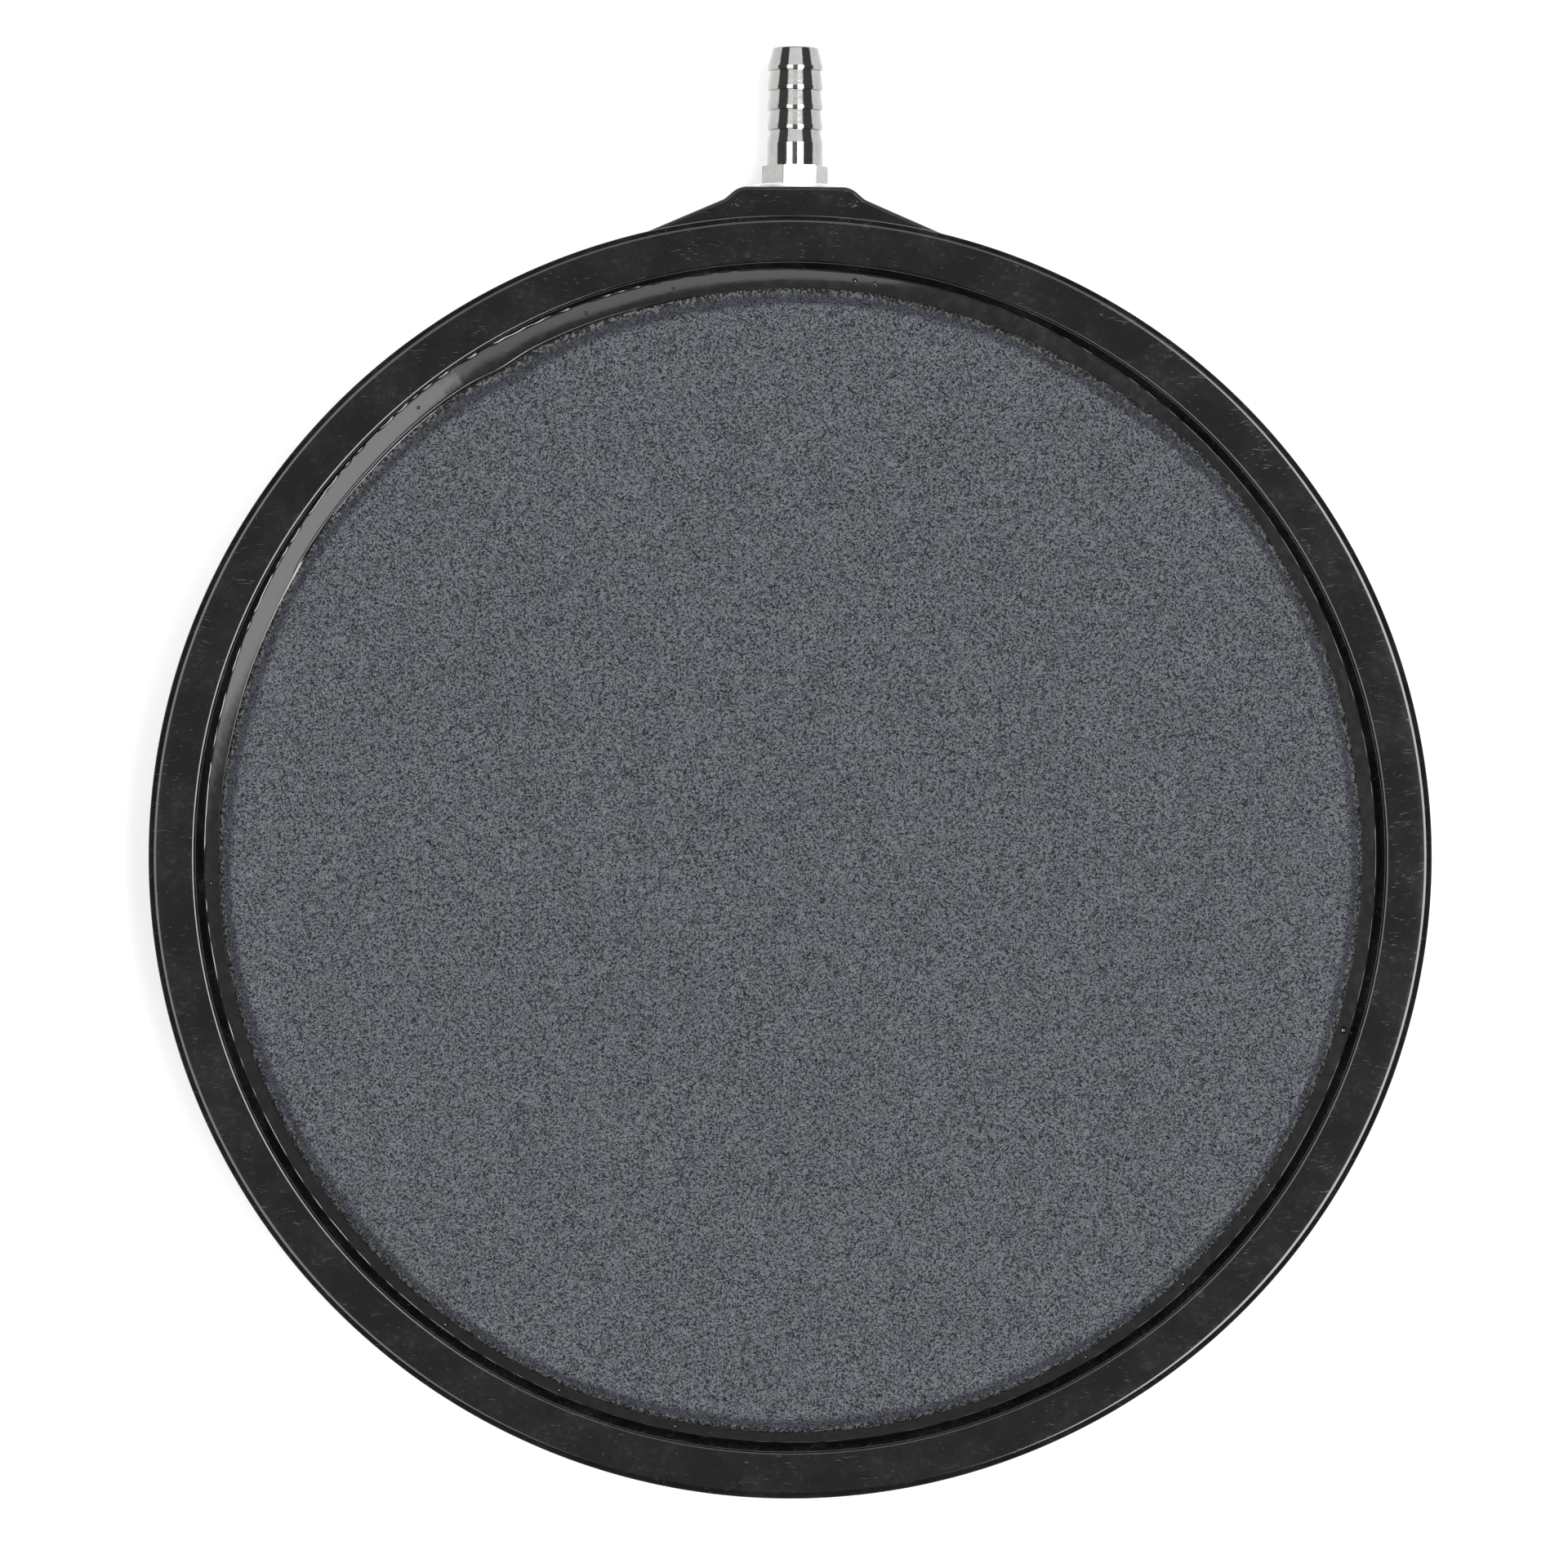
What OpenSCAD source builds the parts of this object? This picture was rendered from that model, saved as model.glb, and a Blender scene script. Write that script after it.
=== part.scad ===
// Round pond air stone: a moulded pan that holds a porous disc in a bead of resin, fed with air
// through a screwed-in hose barb. Millimetres. The origin is the centre of the resting face,
// +Z is up and +Y points along the hose barb.

/* [Pan] */
// Diameter over the rim
pan_d = 200; // [190:1:215]
// Height from the resting face to the top of the rim
pan_h = 22; // [21:0.5:26]
// Width of the rim's flat top, edges included
rim_w = 6.75; // [6:0.25:8]
// Thickness of the moulded walls and floor
wall = 2.2; // [1.8:0.1:2.4]
// How far the feet stand below the floor's underside
foot_h = 0.8; // [0.5:0.1:1.5]
// Number of cross ribs under the rim
rim_ribs = 24; // [12:1:36]
// Number of stiffening ribs under the floor
floor_ribs = 8; // [6:1:12]

/* [Porous disc] */
// Thickness of the porous disc
stone_t = 10.2; // [8:0.1:10.4]
// Radius of the rounded shoulder around its top face
stone_edge = 1.2; // [0.6:0.1:1.5]
// Width of the resin-filled gap around the disc
stone_gap = 1.3; // [0.8:0.1:1.8]

/* [Boss] */
// Width of the boss's flat front face
boss_w = 14.8; // [14:0.2:18]
// Height of the boss
boss_h = 15; // [14.5:0.5:17]
// How far the boss stands out past the rim
boss_reach = 5; // [4.5:0.1:7]

/* [Hose barb] */
// Diameter over the barbs
barb_d = 8.75; // [8.4:0.05:9]
// Diameter of the groove behind each barb
neck_d = 8; // [7.6:0.05:8]
// Number of barbs above the plain collar
barbs = 4; // [2:1:6]
// Distance from one barb to the next
barb_pitch = 3.12; // [2.6:0.02:3.6]
// Width of the hexagon across its flats
hex_af = 9.2; // [9:0.1:11]
// Height of the hexagon
hex_h = 3; // [2:0.05:4]
// Turn of the hexagon when the fitting is tight, in degrees
hex_turn = 10; // [0:1:59]

/* [Thread and seal] */
// Outside diameter of the thread
thread_d = 8; // [8:0.1:8.4]
// Pitch of the thread
thread_pitch = 1; // [0.75:0.05:1.25]
// Diameter of the flat washer
washer_d = 13; // [12:0.1:14]
// Thickness of the flat washer
washer_t = 0.7; // [0.5:0.1:1.2]
// Thickness of the sealing ring's section
ring_t = 1.4; // [1.2:0.1:1.5]

/* [Hidden] */
$fn = 96;
eps = 0.01;

// Pan
pan_r = pan_d / 2;
skirt_draft = 0.6;
land_fillet = 0.9;
lip_fillet = 0.35;
land_in_r = pan_r - rim_w;
chamfer_w = 1.65;
chamfer_h = 2.2;
well_r = land_in_r - lip_fillet - chamfer_w;
floor_top = foot_h + wall;
pad_r = 14;
gate_r = 2;
gate_depth = 0.4;
rib_t = 1.6;
floor_rib_h = foot_h - 0.2;
skirt_in_r = pan_r - skirt_draft - wall;
well_back_r = well_r + wall;

// Porous disc, its top a little below the rim, and the ring rib that it rests on
stone_r = well_r - stone_gap;
stone_drop = 0.8;
seat_z = pan_h - stone_drop - stone_t;
stone_top = seat_z + stone_t;
trough_w = 3;
trough_in_r = well_r - trough_w;
plenum_r = trough_in_r - wall;
ring_w = 2;
ring_step = 22;
support_rings = 3;
air_gaps = 8;
air_gap_w = 6;

// Resin surface
resin_wall_z = pan_h - lip_fillet - chamfer_h + 0.15;
resin_dip = 0.25;
resin_dip_r = well_r - 0.35;
shoulder_a = 15;

// Boss and fitting
axis_z = boss_h / 2;
face_y = pan_r + boss_reach;
boss_corner = 3.5;
shoulder_slope = 42;
shoulder_y = face_y - 1.95;
flank_slope = 23.4;
flank_x = 26;
spine_w = 14;
gland_w = 10;
bore_clear = 0.04;
thread_r = thread_d / 2;
thread_len = 9;
thread_grip = thread_len + 1;
passage_r = 2.2;
air_bore_r = 2.75;
ring_seat_r = thread_r + bore_clear + ring_t + 0.1;
ring_seat_d = ring_t - 0.1;
hex_y = face_y + washer_t;
collar_y = hex_y + hex_h;
collar_len = 3.55;
taper_len = 2.15;
crest_len = 0.85;
crest_less = 0.02;
neck_y = collar_y + collar_len + taper_len;
tip_len = 3.6;
tip_r = 3.6;
tip_round = 0.3;
tip_y = neck_y + (barbs - 1) * barb_pitch + tip_len;

// Points of an arc about (cx, cy), from angle a0 to a1
function arc(cx, cy, r, a0, a1, n = 8) =
    [for (i = [0:n]) [cx + r * cos(a0 + (a1 - a0) * i / n), cy + r * sin(a0 + (a1 - a0) * i / n)]];

// Turns a shape built along +Z to run along +Y, its base at the given distance from the origin
module along_y(y) {
    translate([0, y, axis_z]) rotate([-90, 0, 0]) children();
}

// Section of the dish: skirt, rim, sloping lip, well wall, floor and feet
module dish_section() {
    under_z = pan_h - wall;
    polygon(concat(
        [[0, 0], [pad_r, 0], [pad_r + 0.5, foot_h], [well_r - 0.3, foot_h], [well_r, 0], [well_back_r, 0]],
        [[well_back_r + 0.2, under_z - chamfer_h], [well_back_r + chamfer_w, under_z], [skirt_in_r + 0.3, under_z]],
        [[skirt_in_r, 0], [pan_r - skirt_draft - 0.4, 0], [pan_r - skirt_draft, 0.4]],
        arc(pan_r - land_fillet, pan_h - land_fillet, land_fillet, 0, 90),
        arc(land_in_r + lip_fillet, pan_h - lip_fillet, lip_fillet, 90, 145, 5),
        [[well_r, pan_h - lip_fillet - chamfer_h], [well_r, floor_top], [0, floor_top]]
    ));
}

// A ring standing on the floor, up to the seat of the porous disc
module floor_ring(r_in, width) {
    translate([0, 0, floor_top - eps]) difference() {
        cylinder(r = r_in + width, h = seat_z - floor_top + eps);
        translate([0, 0, -1]) cylinder(r = r_in, h = seat_z);
    }
}

// Support rings under the disc, cut by radial gaps that let the air spread
module support_rings() {
    difference() {
        for (i = [1:support_rings]) floor_ring(i * ring_step - ring_w / 2, ring_w);
        for (i = [0:air_gaps / 2 - 1])
            rotate([0, 0, 360 / air_gaps * i])
                translate([-plenum_r, -air_gap_w / 2, floor_top])
                    cube([2 * plenum_r, air_gap_w, seat_z]);
    }
}

// Straight ribs that run outwards from the centre, spaced evenly round the pan
module radial_ribs(count, from_r, to_r, low_z, high_z) {
    for (i = [0:count - 1])
        rotate([0, 0, 360 / count * (i + 0.5)])
            translate([from_r, -rib_t / 2, low_z])
                cube([to_r - from_r, rib_t, high_z - low_z]);
}

// Ribs under the floor, a little short of the resting plane, and cross ribs in the groove under the rim
module under_ribs() {
    radial_ribs(floor_ribs, pad_r - 0.5, well_r + 0.5, foot_h - floor_rib_h, foot_h + wall / 2);
    radial_ribs(rim_ribs, well_back_r - wall / 4, skirt_in_r + wall / 4, foot_h, pan_h - wall);
}

// Plan of the boss: a flat front, rounded shoulders and two long sloping flanks
module boss_plan() {
    half = boss_w / 2;
    round_y = face_y - boss_corner;
    turn_x = half + boss_corner * sin(shoulder_slope);
    turn_y = round_y + boss_corner * cos(shoulder_slope);
    shoulder_x = turn_x + (turn_y - shoulder_y) / tan(shoulder_slope);
    flank_y = shoulder_y - (flank_x - shoulder_x) * tan(flank_slope);
    polygon(concat(
        [[-flank_x, flank_y - 2], [flank_x, flank_y - 2], [flank_x, flank_y], [shoulder_x, shoulder_y]],
        arc(half, round_y, boss_corner, 90 - shoulder_slope, 90, 6),
        arc(-half, round_y, boss_corner, 90, 90 + shoulder_slope, 6),
        [[-shoulder_x, shoulder_y], [-flank_x, flank_y]]
    ));
}

// Side view of the boss, which rounds its top and bottom front edges
module boss_side() {
    soft = 0.6;
    back_y = well_back_r;
    polygon(concat(
        [[back_y, 0]],
        arc(face_y - soft, soft, soft, -90, 0, 5),
        arc(face_y - soft, boss_h - soft, soft, 0, 90, 5),
        [[back_y, boss_h]]
    ));
}

module boss_block() {
    intersection() {
        linear_extrude(boss_h) boss_plan();
        translate([-flank_x - 1, 0, 0]) rotate([90, 0, 90]) linear_extrude(2 * flank_x + 2) boss_side();
    }
    // Solid core that carries the air passage under the rim and across the trough
    translate([-spine_w / 2, well_r + 0.5, 0]) cube([spine_w, pan_r - well_r - 2, boss_h - 0.5]);
    translate([-gland_w / 2, plenum_r + 0.6, floor_top - eps])
        cube([gland_w, well_r - plenum_r, seat_z - floor_top + eps]);
}

// Tapped hole, seat of the sealing ring and air passage
module inlet_bores() {
    along_y(face_y - thread_grip) cylinder(r = thread_r + bore_clear, h = thread_grip + 1);
    along_y(face_y - ring_seat_d) cylinder(r = ring_seat_r, h = ring_seat_d + 1);
    along_y(plenum_r - 3) cylinder(r = passage_r, h = face_y - thread_grip - plenum_r + 3.5);
}

module pan() {
    color([0.05, 0.05, 0.055]) difference() {
        union() {
            rotate_extrude() dish_section();
            floor_ring(plenum_r, wall);
            support_rings();
            under_ribs();
            boss_block();
        }
        inlet_bores();
        translate([0, 0, -1]) cylinder(r = gate_r, h = 1 + gate_depth);
    }
}

module porous_disc() {
    color([0.38, 0.4, 0.43]) rotate_extrude() polygon(concat(
        [[0, seat_z], [stone_r - 0.4, seat_z], [stone_r, seat_z + 0.4]],
        arc(stone_r - stone_edge, stone_top - stone_edge, stone_edge, 0, 90),
        [[0, stone_top]]
    ));
}

// Cured resin: fills the trough and the gap, and rises a little on to the disc's shoulder
module resin_section() {
    cx = stone_r - stone_edge;
    cz = stone_top - stone_edge;
    slope = chamfer_w / chamfer_h;
    lip_z = pan_h - lip_fillet - chamfer_h;
    polygon(concat(
        [[trough_in_r, floor_top], [well_r, floor_top], [well_r, lip_z]],
        [[well_r + (resin_wall_z - lip_z) * slope, resin_wall_z], [resin_dip_r, resin_wall_z - resin_dip]],
        arc(cx, cz, stone_edge, shoulder_a, 0, 4),
        [[stone_r, seat_z + 0.4], [stone_r - 0.4, seat_z], [trough_in_r, seat_z]]
    ));
}

module resin_seal() {
    color([0.03, 0.03, 0.03]) difference() {
        rotate_extrude() resin_section();
        translate([-gland_w / 2, plenum_r, floor_top - 1])
            cube([gland_w, well_r - plenum_r + 1.6, seat_z - floor_top + 1]);
    }
}

// Outline of the turned fitting, from the thread's end to the tip, about its own axis
module barb_profile() {
    collar_r = barb_d / 2;
    crest = collar_r - crest_less;
    neck = neck_d / 2;
    root_r = thread_r - 0.55 * thread_pitch;
    collar_top = collar_y + collar_len;
    ridges = floor((thread_len - 1) / thread_pitch);
    start = hex_y - thread_len - washer_t;
    polygon(concat(
        [[0, start], [root_r, start]],
        [for (i = [0:ridges - 1]) each [
            [root_r, start + (i + 0.15) * thread_pitch],
            [thread_r, start + (i + 0.45) * thread_pitch],
            [thread_r, start + (i + 0.6) * thread_pitch],
            [root_r, start + (i + 0.9) * thread_pitch]
        ]],
        [[root_r, hex_y - washer_t - 0.6], [thread_r - 0.1, hex_y - washer_t], [thread_r - 0.1, hex_y + 0.5]],
        [[collar_r - 0.2, hex_y + 0.5], [collar_r - 0.2, collar_y], [collar_r, collar_y], [collar_r, collar_top]],
        [[neck, neck_y]],
        [for (i = [0:barbs - 2]) each [
            [crest, neck_y + i * barb_pitch],
            [crest, neck_y + i * barb_pitch + crest_len],
            [neck, neck_y + (i + 1) * barb_pitch]
        ]],
        [[crest, neck_y + (barbs - 1) * barb_pitch], [crest, neck_y + (barbs - 1) * barb_pitch + crest_len]],
        arc(tip_r - tip_round, tip_y - tip_round, tip_round, 10, 90, 5),
        [[0, tip_y]]
    ));
}

module hexagon() {
    round_r = hex_af / 2 + 0.42;
    intersection() {
        rotate([0, 0, hex_turn]) cylinder(d = hex_af / cos(30), h = hex_h, $fn = 6);
        cylinder(r1 = round_r, r2 = round_r + hex_h * 0.6, h = hex_h, $fn = 96);
        cylinder(r1 = round_r + hex_h * 0.6, r2 = round_r, h = hex_h, $fn = 96);
    }
}

module hose_barb() {
    color([0.75, 0.75, 0.73]) difference() {
        union() {
            along_y(0) rotate_extrude() barb_profile();
            along_y(hex_y) hexagon();
        }
        along_y(hex_y - thread_len - 5) cylinder(r = passage_r, h = 2 * thread_len);
        along_y(hex_y + 1) cylinder(r = air_bore_r, h = tip_y);
    }
}

module flat_washer() {
    color([0.8, 0.8, 0.8]) along_y(face_y) difference() {
        cylinder(d = washer_d, h = washer_t);
        translate([0, 0, -1]) cylinder(r = thread_r + 0.1, h = washer_t + 2);
    }
}

// Rubber ring, squeezed flat between the washer and its seat
module sealing_ring() {
    in_r = thread_r + 0.06;
    out_r = ring_seat_r - 0.02;
    soft = 0.35;
    color([0.02, 0.02, 0.02]) along_y(face_y - ring_seat_d + eps) rotate_extrude() polygon(concat(
        arc(in_r + soft, soft, soft, 180, 270, 4),
        arc(out_r - soft, soft, soft, -90, 0, 4),
        arc(out_r - soft, ring_seat_d - 2 * eps - soft, soft, 0, 90, 4),
        arc(in_r + soft, ring_seat_d - 2 * eps - soft, soft, 90, 180, 4)
    ));
}

pan();
porous_disc();
resin_seal();
hose_barb();
flat_washer();
sealing_ring();
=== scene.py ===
"""Looks of a round pond air stone: pan, porous disc, resin bead, hose barb, washer and sealing ring.

Outlines are written in millimetres and turned into metres when a mesh is made.
"""
import math

import bmesh
import bpy
import numpy as np
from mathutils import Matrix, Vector, noise


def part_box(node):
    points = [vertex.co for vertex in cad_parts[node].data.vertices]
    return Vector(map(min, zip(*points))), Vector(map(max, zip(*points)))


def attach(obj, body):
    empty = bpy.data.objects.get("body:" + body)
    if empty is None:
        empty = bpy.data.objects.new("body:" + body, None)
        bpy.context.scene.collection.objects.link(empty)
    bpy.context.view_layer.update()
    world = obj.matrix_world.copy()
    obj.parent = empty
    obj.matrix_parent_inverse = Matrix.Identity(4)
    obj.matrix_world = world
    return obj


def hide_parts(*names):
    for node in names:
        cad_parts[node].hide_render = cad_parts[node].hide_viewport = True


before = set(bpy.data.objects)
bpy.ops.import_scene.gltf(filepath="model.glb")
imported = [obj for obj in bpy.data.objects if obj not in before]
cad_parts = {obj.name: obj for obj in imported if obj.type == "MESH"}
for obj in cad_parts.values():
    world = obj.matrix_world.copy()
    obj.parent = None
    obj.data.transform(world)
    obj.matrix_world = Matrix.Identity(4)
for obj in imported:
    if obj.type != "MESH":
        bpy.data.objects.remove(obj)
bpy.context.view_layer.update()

MM = 0.001


def node_box(name):
    """A CAD node's lowest and highest corner, in millimetres."""
    low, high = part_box(name)
    return low / MM, high / MM


# Sizes read from the frame
pan_high = node_box("pan")[1]
stone_low, stone_high = node_box("porous_disc")
barb_low, barb_high = node_box("hose_barb")
washer_low, washer_high = node_box("flat_washer")
ring_low, ring_high = node_box("sealing_ring")

PAN_R = pan_high.x
PAN_H = pan_high.z
FACE_Y = washer_low.y
AXIS_Z = (washer_low.z + washer_high.z) / 2
STONE_R = stone_high.x
STONE_TOP = stone_high.z
STONE_SEAT = stone_low.z
BARB_TIP = barb_high.y
STEM_END = barb_low.y

# Pan
WALL = 2.2
FOOT_H = 0.8
FLOOR_TOP = FOOT_H + WALL
SKIRT_DRAFT = 0.6
LAND_IN_R = PAN_R - 6.75
# The lip slopes in and down from the rim's top to the well wall
LIP_TOP_R = LAND_IN_R - 0.47
LIP_ROUND = 0.85
LIP_RUN = 1.53
LIP_RISE = 2.52
LIP_FOOT = PAN_H - 0.03 - LIP_RISE
WELL_R = LIP_TOP_R - LIP_RUN
WELL_BACK_R = WELL_R + WALL
SKIRT_IN_R = PAN_R - SKIRT_DRAFT - WALL
PAD_R = 14
RIM_RIBS = 24
FLOOR_RIBS = 8
RIB_T = 1.6

# Boss
BOSS_H = 15
FRONT_HALF = 8.75
FRONT_ROUND = 3.5
SHOULDER = (11.0, FACE_Y - 1.95)
FLANK = (26.0, 96.55)
# The air passage starts here on Y, and the tapped hole reaches this far in from the boss's face
BORE_START = 84
THREAD_GRIP = 10

# Fitting
THREAD_R = 4.0
THREAD_PITCH = 1.0
COLLAR_R = 4.375
CREST_R = 4.355
NECK_R = 4.0
TIP_R = 3.6
BARBS = 4
BARB_PITCH = 3.12
CREST_LEN = 0.6
HEX_Y = washer_high.y
HEX_H = 3.0
HEX_AF = 9.2
HEX_TURN = 10
COLLAR_LEN = 3.55
TAPER_LEN = 2.15
AIR_BORE_R = 2.75
PASSAGE_R = 2.2


# ---------------------------------------------------------------- mesh helpers

def link(name, mesh):
    made = bpy.data.objects.new(name, mesh)
    bpy.context.scene.collection.objects.link(made)
    return made


def solid(name, points_mm, faces):
    mesh = bpy.data.meshes.new(name)
    mesh.from_pydata([(x * MM, y * MM, z * MM) for x, y, z in points_mm], [], faces)
    mesh.update()
    return link(name, mesh)


def rounded(corners, step=10):
    """An outline through (a, b) or (a, b, radius) corners, each corner with a radius turned into an arc."""
    out = []
    count = len(corners)
    for i, corner in enumerate(corners):
        here = Vector(corner[:2])
        if len(corner) < 3 or corner[2] == 0:
            out.append(tuple(here))
            continue
        back = (Vector(corners[i - 1][:2]) - here).normalized()
        ahead = (Vector(corners[(i + 1) % count][:2]) - here).normalized()
        half = back.angle(ahead) / 2
        centre = here + (back + ahead).normalized() * corner[2] / math.sin(half)
        start = here + back * corner[2] / math.tan(half) - centre
        turn = math.pi - 2 * half
        if start.x * ahead.y - start.y * ahead.x < 0:
            turn = -turn
        steps = max(2, math.ceil(math.degrees(abs(turn)) / step))
        for k in range(steps + 1):
            a = turn * k / steps
            out.append((centre.x + start.x * math.cos(a) - start.y * math.sin(a),
                        centre.y + start.x * math.sin(a) + start.y * math.cos(a)))
    return out


def grid_faces(rings, around, close_rings):
    """Quads between rings of equal size, wrapped around. Closing joins the last ring to the first."""
    faces = []
    for i in range(rings if close_rings else rings - 1):
        a, b = i * around, (i + 1) % rings * around
        for k in range(around):
            n = (k + 1) % around
            faces.append((a + k, a + n, b + n, b + k))
    return faces


def lathe(name, outline, around=384):
    """A closed solid turned about Z. Its outline starts and ends on the axis, or closes on itself."""
    on_axis = outline[0][0] < 1e-6
    rings = outline[1:-1] if on_axis else outline
    angles = [math.tau * k / around for k in range(around)]
    points = [(r * math.cos(a), r * math.sin(a), z) for r, z in rings for a in angles]
    faces = grid_faces(len(rings), around, not on_axis)
    if on_axis:
        first, last, top = len(points), len(points) + 1, (len(rings) - 1) * around
        points += [(0, 0, outline[0][1]), (0, 0, outline[-1][1])]
        for k in range(around):
            n = (k + 1) % around
            faces += [(first, n, k), (last, top + k, top + n)]
    return outward(solid(name, points, faces))


def outward(piece):
    """Makes every face look out of the solid."""
    work = bmesh.new()
    work.from_mesh(piece.data)
    bmesh.ops.recalc_face_normals(work, faces=work.faces)
    work.to_mesh(piece.data)
    work.free()
    return piece


def along_y(piece, y=0.0):
    """Turns a solid built along +Z to lie along the fitting's axis, with its base y millimetres out."""
    flat = np.zeros(len(piece.data.vertices) * 3)
    piece.data.vertices.foreach_get("co", flat)
    co = flat.reshape(-1, 3)
    turned = np.column_stack([co[:, 0], co[:, 2] + y * MM, AXIS_Z * MM - co[:, 1]])
    piece.data.vertices.foreach_set("co", turned.ravel())
    piece.data.update()
    return piece


def prism(name, plan, levels):
    """A closed solid on a plan outline, with a ring of points at each (height, inset) level."""
    count = len(plan)
    points = []
    for z, inset in levels:
        for k in range(count):
            back, here, ahead = (Vector(plan[(k + d) % count]) for d in (-1, 0, 1))
            side = ((here - back).normalized() + (ahead - here).normalized()).normalized()
            points.append((here.x - side.y * inset, here.y + side.x * inset, z))
    faces = grid_faces(len(levels), count, False)
    faces += [tuple(range(count)), tuple(range(len(points) - count, len(points)))]
    return outward(solid(name, points, faces))


def combine(piece, other, operation):
    change = piece.modifiers.new("combine", "BOOLEAN")
    change.operation = operation
    change.object = other
    change.solver = "MANIFOLD"
    bpy.context.view_layer.objects.active = piece
    bpy.ops.object.modifier_apply(modifier=change.name)
    bpy.data.objects.remove(other)
    return piece


def finish_piece(piece, material, body, node, sharp_deg=32, weighted=True):
    """Shades the piece, gives it its material and its place in the frame."""
    mesh = piece.data
    mesh.materials.clear()
    mesh.materials.append(material)
    mesh.shade_smooth()
    if sharp_deg:
        mesh.set_sharp_from_angle(angle=math.radians(sharp_deg))
    if weighted:
        even = piece.modifiers.new("even_normals", "WEIGHTED_NORMAL")
        even.keep_sharp = True
        even.weight = 100
    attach(piece, body)
    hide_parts(node)
    return piece


# ---------------------------------------------------------------- material helpers

def new_material(name):
    material = bpy.data.materials.new(name)
    material.use_nodes = True
    tree = material.node_tree
    tree.nodes.clear()
    shader = tree.nodes.new("ShaderNodeBsdfPrincipled")
    out = tree.nodes.new("ShaderNodeOutputMaterial")
    tree.links.new(shader.outputs[0], out.inputs["Surface"])
    place = add(tree, "TexCoord").outputs["Object"]
    mm = add(tree, "VectorMath", {0: place, "Scale": 1 / MM}, operation="SCALE").outputs[0]
    return material, tree, shader, mm


def add(tree, kind, inputs=None, **settings):
    """Adds one shader node; inputs are values or the sockets that feed them."""
    made = tree.nodes.new("ShaderNode" + kind)
    for key, value in settings.items():
        setattr(made, key, value)
    for key, value in (inputs or {}).items():
        if isinstance(value, bpy.types.NodeSocket):
            tree.links.new(value, made.inputs[key])
        else:
            made.inputs[key].default_value = value
    return made


def maths(tree, operation, a, b=0.0):
    return add(tree, "Math", {0: a, 1: b}, operation=operation).outputs[0]


def noise_of(tree, vector, per_mm, detail=2.0, rough=0.5):
    return add(tree, "TexNoise", {"Vector": vector, "Scale": per_mm, "Detail": detail,
                                  "Roughness": rough}).outputs["Fac"]


def remap(tree, value, low, high, to_low=0.0, to_high=1.0):
    return add(tree, "MapRange", {"Value": value, "From Min": low, "From Max": high,
                                  "To Min": to_low, "To Max": to_high}).outputs[0]


def blend_colour(tree, factor, first, second, mode="MIX"):
    made = add(tree, "Mix", {0: factor}, data_type="RGBA", blend_type=mode)
    for index, value in ((6, first), (7, second)):
        if isinstance(value, bpy.types.NodeSocket):
            tree.links.new(value, made.inputs[index])
        else:
            made.inputs[index].default_value = (*value, 1.0)
    return made.outputs[2]


def bump(tree, height, depth_mm, under=None, strength=1.0):
    inputs = {"Height": height, "Distance": depth_mm * MM, "Strength": strength}
    if under is not None:
        inputs["Normal"] = under
    return add(tree, "Bump", inputs).outputs[0]


def dashes(tree, vector, angle_deg, length, width, share):
    """Sparse straight marks: 1 on a mark and 0 elsewhere. share is how many of the cells hold one."""
    turned = add(tree, "Mapping", {"Vector": vector, "Rotation": (0, 0, math.radians(angle_deg)),
                                   "Scale": (1 / length, 1 / width, 1 / length)}).outputs[0]
    cells = add(tree, "TexVoronoi", {"Vector": turned, "Scale": 1.0, "Randomness": 1.0})
    near = remap(tree, cells.outputs["Distance"], 0.05, 0.32, 1.0, 0.0)
    lot = add(tree, "SeparateColor", {0: cells.outputs["Color"]}).outputs[0]
    chosen = maths(tree, "LESS_THAN", lot, share)
    return maths(tree, "MULTIPLY", near, chosen)


# ---------------------------------------------------------------- materials

# Scratches in the plastic: direction in degrees, length and width in mm, and how many of the cells hold one
SCRATCHES = ((12, 2.6, 0.10, 0.035), (44, 1.6, 0.09, 0.04), (71, 3.2, 0.10, 0.035),
             (104, 5.0, 0.09, 0.02), (128, 2.2, 0.11, 0.035), (160, 1.3, 0.09, 0.04))
# Where the boss's two front corners are scuffed: how far to each side, and how far back from the face
SCUFF_ASIDE = 9.2
SCUFF_BACK = 2.6


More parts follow.
